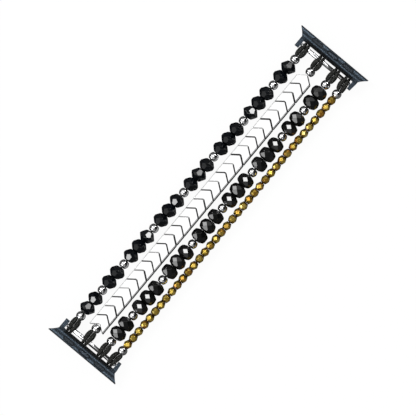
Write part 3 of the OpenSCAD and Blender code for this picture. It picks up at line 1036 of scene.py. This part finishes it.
for hand in HANDS:
    spring_node = f"{hand}_catch_spring"
    low, high = box_mm(spring_node)
    centre = (low + high) / 2
    foot = Vector((centre.x, centre.y, low.z))
    head = Vector((centre.x, centre.y, high.z))
    coil(f"coiled_{spring_node}", spring_node, foot, head)
    spring_node = f"{hand}_bar_spring"
    low, high = box_mm(spring_node)
    centre = (low + high) / 2
    for tip, tip_y in (("agate", high.y), ("gold", low.y)):
        head = Vector((centre.x, tip_y, centre.z))
        coil(f"coiled_{spring_node}_{tip}", spring_node, centre, head)


# Cord loops round the bars, by the same rules as the solids and with the braid on them

# Width and thickness of a cord at the bar and where it swells, and its thickness at the bead
NECK_W = 1.24
NECK_T = 0.75
SWELL_W = 1.7
SWELL_T = 1.5
ENTRY_T = 0.8
# Gap between the two cords of a loop where they swell, and at the bar
SLIT = 0.14
PAIR_GAP = 0.06
BAR_CORD_CLEARANCE = 0.08
EAR_CORD_CLEARANCE = 0.2
# Gap between the end of a bar's tube and the ear
TUBE_EAR_GAP = 0.2
BEAD_GAP = 0.04
# How far the soft cords of a pair swell into the gap between them
CORD_CROWD = 0.07
# Length of one turn of the braid, how many threads cross it, how deep the threads are cut, how broad their
# crowns are, and how much light painted shade leaves at the sides of a cord
BRAID_PITCH = 1.05
BRAID_THREADS = 4
BRAID_DEPTH = 0.07
BRAID_CROWN = 1.25
BRAID_SIDE_SHADE = 0.3
LOOP_RING_STEP = 0.11
LOOP_SIDES = 24

right_ends = [middle(box) for box in islands("right_end_beads")]
strand_ys = sorted((p.y for p in right_ends), reverse=True)
loop_r = bar_r + BAR_CORD_CLEARANCE + NECK_T / 2
loop_end = bar_x - right_ends[0].x - silver_length / 2 - BEAD_GAP
ear_gap = bar_high.y - bar_low.y + 2 * TUBE_EAR_GAP
loop_room = ear_gap / 2 - SWELL_W - SLIT / 2 - EAR_CORD_CLEARANCE


def loop_section(share):
    """Half width, half depth, offset from the pair's middle and height of a cord, where share goes
    from 0 at the bar to 1 at the end bead."""
    swelling = max(0.0, math.sin(math.pi * share))
    half_width = (NECK_W + (SWELL_W - NECK_W) * math.sqrt(swelling)) / 2
    half_depth = (NECK_T + (ENTRY_T - NECK_T) * share + (SWELL_T - NECK_T) * swelling ** 1.5) / 2
    offset = half_width + (PAIR_GAP + (SLIT - PAIR_GAP) * swelling) / 2
    half_width += CORD_CROWD * swelling
    eased = share * share * (3 - 2 * share)
    height = max(loop_r + (ENTRY_T / 2 - loop_r) * eased, half_depth + PAIR_GAP / 2)
    return half_width, half_depth, offset, height


def loop_stations():
    """Points along a loop as (x, z, share), from the bead over the bar and back under it."""
    leg_steps = round(loop_end / LOOP_RING_STEP)
    turn_steps = round(math.pi * loop_r / LOOP_RING_STEP)
    upper = []
    for step in range(leg_steps):
        share = 1 - step / leg_steps
        upper.append((loop_end * share, loop_section(share)[3], share))
    turn = []
    for step in range(turn_steps + 1):
        angle = math.pi / 2 + math.pi * step / turn_steps
        turn.append((loop_r * math.cos(angle), loop_r * math.sin(angle), 0.0))
    lower = [(x, -z, share) for x, z, share in reversed(upper)]
    return upper + turn + lower


def braid_relief(along, angle):
    """0 in the joints between the threads of a braid, and 1 on their crowns."""
    turn = math.tau * along / BRAID_PITCH
    over = math.sin(turn + BRAID_THREADS * angle / 2)
    under = math.sin(turn - BRAID_THREADS * angle / 2)
    return min(1.0, BRAID_CROWN * math.sqrt(abs(over * under)))


def loop_cord(points, braid_shades, side, pair_side, from_y, to_y):
    """Adds the points of one cord of a loop, in millimetres, and gives back how many rings they make."""
    stations = loop_stations()
    along = 0.0
    last = len(stations) - 1
    for index, (x, z, share) in enumerate(stations):
        half_width, half_depth, offset, _ = loop_section(share)
        nearer = Vector(stations[max(index - 1, 0)][:2])
        further = Vector(stations[min(index + 1, last)][:2])
        tangent = (further - nearer).normalized()
        if index in (0, last):
            tangent = Vector((-1 if index == 0 else 1, 0))
        normal = Vector((tangent.y, -tangent.x))
        y = from_y + (to_y - from_y) * share ** 2 + pair_side * offset
        along += (Vector((x, z)) - nearer).length
        for angle in around(LOOP_SIDES):
            relief = braid_relief(along, angle)
            # Painted shade for the braid: dark in the joints between threads and at the sides of the cord
            # across the band
            side_shade = BRAID_SIDE_SHADE + (1 - BRAID_SIDE_SHADE) * abs(math.sin(angle))
            inset = BRAID_DEPTH * (1 - relief)
            out = (half_depth - inset) * math.sin(angle)
            points.append((
                side * (bar_x - x - out * normal.x),
                y + (half_width - inset) * math.cos(angle),
                axis_z + z + out * normal.y,
            ))
            braid_shades.append(relief * side_shade)
    return len(stations)


def cord_loops(hand):
    """The loops of all four strands round one bar."""
    side = -1 if hand == "left" else 1
    points = []
    faces = []
    braid_shades = []
    for y in strand_ys:
        bar_y = max(-loop_room, min(loop_room, y))
        for pair_side in (-1, 1):
            first = len(points)
            rings = loop_cord(points, braid_shades, side, pair_side, bar_y, y)
            faces += tube_faces(rings, LOOP_SIDES, first)
    mesh = mesh_of(f"braided_{hand}_loops", points, faces)
    # The painted shade of the braid, which its material reads as relief
    mesh.attributes.new("relief", "FLOAT", "POINT").data.foreach_set("value", braid_shades)
    riding_piece(mesh, BRAID, f"{hand}_cord_loops")


for hand in HANDS:
    cord_loops(hand)


# Elastic cords, in short pieces where the segments of a strand part

# How deep a piece of cord runs into the beads it joins
CORD_GRIP = 1.1
CORD_SIDES = 16
CORD_STEP = 0.12
# Fewest steps along a piece of cord
CORD_LEAST_STEPS = 8
# Gap between neighbouring chevrons where the band bends
BEND_GAP = 0.2

cord_low, cord_high = islands("elastic_cords")[0]
cord_r = (cord_high.z - cord_low.z) / 2


def cord_piece(name, y, start_x, end_x):
    """A short cord from one bead's bore into the next."""
    steps = max(CORD_LEAST_STEPS, round(abs(end_x - start_x) / CORD_STEP))
    points = []
    for step in range(steps + 1):
        x = start_x + (end_x - start_x) * step / steps
        for angle in around(CORD_SIDES):
            points.append((x, y + cord_r * math.cos(angle), axis_z + cord_r * math.sin(angle)))
    mesh = mesh_of(name, points, tube_faces(steps + 1, CORD_SIDES))
    blended_piece(mesh, ELASTIC, "elastic_cords")


def cord_boundary(strand, y, spacer):
    """The cord where a spacer's silver bead, or a plain gap, parts two segments of a strand."""
    left_edge = max(high.x for low, high in islands(f"{strand}s_{spacer}"))
    right_edge = min(low.x for low, high in islands(f"{strand}s_{spacer + 1}"))
    if strand == "chevron":
        right_edge = left_edge + BEND_GAP
    middle_x = (left_edge + right_edge) / 2
    ends = [(f"segment_{spacer}", left_edge - CORD_GRIP), (f"segment_{spacer + 1}", right_edge + CORD_GRIP)]
    if spacer < ROOT_SEGMENT:
        ends.reverse()
    (parent, parent_x), (child, child_x) = ends
    cord_piece(f"cord_{strand}_{spacer}_slide", y, parent_x, middle_x)
    cord_piece(f"cord_{strand}_{spacer}_bend", y, middle_x, child_x)


for strand, strand_y in zip(STRANDS, strand_ys):
    for spacer in range(1, SEGMENTS):
        cord_boundary(strand, strand_y, spacer)


# Floor

# Half the side of the floor, in metres
FLOOR_HALF = 3.0
# The white sheet: its own grey, how much of it glows, and how bright it glows
PAPER_LEVEL = 0.9
PAPER_GLOW = 0.93
GLOW_LEVEL = 1.02
# What mirrors and stones see of the sheet: its level where it is open, how far the band shades it, how
# fast that shade deepens, and its level in full shade
SHEET_LEVEL = 0.15
SHADE_REACH = 60
SHADE_DEPTH = 30
SHADE_LEVEL = 0.01
SHADE_SAMPLES = 8
# How far from the middle of the band the sheet is lit, and the share of that over which it goes dark
SHEET_REACH = 170
SHEET_BLUR = 0.3


def make_floor():
    """A white sheet that keeps a soft shadow under the band. Mirrors and stones see it dim, and the shade
    close to the band in it."""
    mesh = bpy.data.meshes.new("floor")
    corners = ((-1, -1), (1, -1), (1, 1), (-1, 1))
    places = [(x * FLOOR_HALF, y * FLOOR_HALF, cad_box[0].z) for x, y in corners]
    mesh.from_pydata(places, [], [(0, 1, 2, 3)])
    nodes = Nodes(bpy.data.materials.new("white_sheet"), "OutputMaterial")
    paper = nodes.use("BsdfDiffuse", "BSDF", Color=opaque(PAPER_LEVEL))
    lit = nodes.either(PAPER_GLOW, paper, nodes.shining("Emission", GLOW_LEVEL))
    shade = nodes.use("AmbientOcclusion", "AO", {"samples": SHADE_SAMPLES}, Distance=SHADE_REACH * MM)
    shaded = nodes.math("POWER", shade, SHADE_DEPTH)
    from_middle = nodes.use("VectorMath", "Value", {"operation": "LENGTH"}, Vector=nodes.object_place())
    dark_from = (1 + SHEET_BLUR) * SHEET_REACH
    lit_to = (1 - SHEET_BLUR) * SHEET_REACH
    lit_part = nodes.smooth_step(from_middle, dark_from, lit_to)
    open_level = nodes.times(shaded, nodes.between(lit_part, 0.0, SHEET_LEVEL))
    mirrored = nodes.shining("Emission", nodes.math("MAXIMUM", open_level, SHADE_LEVEL))
    nodes.by_ray(paper, mirrored, lit)
    mesh.materials.append(nodes.owner)
    new_object("floor", mesh)


make_floor()


# Light

# Level of the surroundings that light the band, and of the dim room that mirrors and stones see
PLAIN_LEVEL = 0.75
ROOM_LEVEL = 0.12
# Blur of a soft box's edge, in degrees
BOX_SOFTNESS = 1.0
# Past every direction, for a window that is open to one side
OPEN = 2.0
# Soft boxes overhead, between sines of angles off the vertical along X and Y, and their levels: the first
# shows in the chevrons, and the strips across it in the bars
WINDOWS = (
    (-0.64, 0.64, 0.2, 0.55, 1.4),
    (-OPEN, OPEN, -0.1, 0.12, 0.5),
    (-0.87, 0.87, -0.1, 0.12, 0.01),
    (-0.38, 0.38, -0.1, 0.12, 1.4),
)
# An arc of light round the agate strand's side, between two heights
ARC_Z = (0.5, 0.766)
ARC_FROM_Y = 0.1
ARC_LEVEL = 1.1
# Round patches: off the zenith, towards, radius and level. The first is dark, and each of the others is
# what one kind of facet shows.
ROUND_BOXES = (
    (51, -45, 26, 0.01),
    (69.3, 160, 6, 0.9),
    (62.9, 167.3, 4.5, 16),
    (61.4, -0.3, 4, 24),
    (57.1, 9.4, 3.5, 9),
    (20.8, 54.8, 4.5, 27),
    (71.3, 134.7, 5, 8),
    (56, 90, 8, 3.6),
    (56, 90, 3.5, 12),
    (49.6, 168, 7, 3.2),
    (49.6, 168, 3.5, 8),
    (46, -145, 6, 2.2),
    (42, -140, 12, 1.0),
)
# The key lamp: its level, where it stands in degrees, and its size and distance in metres
KEY_LEVEL = 1.2
KEY_OFF_ZENITH = 40
KEY_TOWARDS = 95
KEY_SIZE = 0.6
KEY_DISTANCE = 1.4


def direction(off_zenith, towards):
    """A direction tipped from straight up, towards an angle in the floor counted from +X, in degrees."""
    tip = math.radians(off_zenith)
    angle = math.radians(towards)
    return (math.sin(tip) * math.cos(angle), math.sin(tip) * math.sin(angle), math.cos(tip))


def make_world():
    """Plain white surroundings. Mirrors and stones see a dim room with soft boxes in their place."""
    nodes = Nodes(bpy.data.worlds.new("studio"), "OutputWorld")
    bpy.context.scene.world = nodes.owner
    way = nodes.add("TexCoord").outputs["Generated"]
    parts = nodes.add("SeparateXYZ")
    nodes.link(way, parts.inputs["Vector"])

    def round_box(off_zenith, towards, radius):
        """1 inside a round patch of the room, and 0 outside."""
        dot = nodes.add("VectorMath", operation="DOT_PRODUCT")
        dot.inputs[1].default_value = direction(off_zenith, towards)
        nodes.link(way, dot.inputs[0])
        outer = math.cos(math.radians(radius + BOX_SOFTNESS))
        inner = math.cos(math.radians(radius - BOX_SOFTNESS))
        return nodes.smooth_step(dot.outputs["Value"], outer, inner)

    def window(axis, low, high):
        """1 where a component of the direction is between two values."""
        value = parts.outputs[axis]
        edge = math.radians(BOX_SOFTNESS)
        above = nodes.smooth_step(value, low - edge, low + edge)
        below = nodes.smooth_step(value, high + edge, high - edge)
        return nodes.times(above, below)

    room = ROOM_LEVEL
    for low_x, high_x, low_y, high_y, level in WINDOWS:
        over = nodes.times(window("X", low_x, high_x), window("Y", low_y, high_y))
        room = nodes.level(room, over, level)
    arc = nodes.times(window("Z", *ARC_Z), window("Y", ARC_FROM_Y, OPEN))
    room = nodes.level(room, arc, ARC_LEVEL)
    for *patch, level in ROUND_BOXES:
        room = nodes.level(room, round_box(*patch), level)
    plain = nodes.shining("Background", PLAIN_LEVEL)
    mirrored = nodes.shining("Background", room)
    nodes.by_ray(plain, mirrored, nodes.shining("Background", 1.0))


def make_key():
    """A large soft lamp that faces the band. Mirrors see the soft boxes of the world in its place."""
    lamp = bpy.data.lights.new("key", "AREA")
    lamp.shape = "DISK"
    lamp.size = KEY_SIZE
    lamp.energy = KEY_LEVEL * math.pi * KEY_DISTANCE ** 2
    piece = new_object("key", lamp)
    way = Vector(direction(KEY_OFF_ZENITH, KEY_TOWARDS))
    piece.location = way * KEY_DISTANCE
    piece.rotation_euler = way.to_track_quat("Z", "Y").to_euler()
    piece.visible_glossy = False
    piece.visible_camera = False
    piece.visible_transmission = False


make_world()
make_key()


# Camera

PHOTO_SIZE = 416
# Middle of the band in the photograph, from the picture's left and top edges, in pixels
PHOTO_CENTRE = (208.4, 204.75)
# How wide the picture is at the band, in millimetres
PHOTO_WIDTH = 149.76
# Turn of the band's long axis from the picture's lower edge, in degrees
PHOTO_TURN = 50.16
# How high the camera is over the band, and how far it sees, in metres
CAMERA_DISTANCE = 1.5
CAMERA_REACH = 20.0


def make_camera():
    camera = new_object("camera", bpy.data.cameras.new("camera"))
    camera.data.lens = camera.data.sensor_width * CAMERA_DISTANCE / (PHOTO_WIDTH * MM)
    camera.data.clip_end = CAMERA_REACH
    turn = -math.radians(PHOTO_TURN)
    right = Vector((math.cos(turn), math.sin(turn), 0))
    up = Vector((-math.sin(turn), math.cos(turn), 0))
    pixel = PHOTO_WIDTH / PHOTO_SIZE * MM
    off_right = (PHOTO_CENTRE[0] - PHOTO_SIZE / 2) * pixel
    off_up = (PHOTO_SIZE / 2 - PHOTO_CENTRE[1]) * pixel
    camera.location = Vector((0, 0, axis_z * MM + CAMERA_DISTANCE)) - off_right * right - off_up * up
    camera.rotation_euler = (0, 0, turn)
    bpy.context.scene.camera = camera


make_camera()

bpy.context.scene.view_settings.view_transform = "Standard"
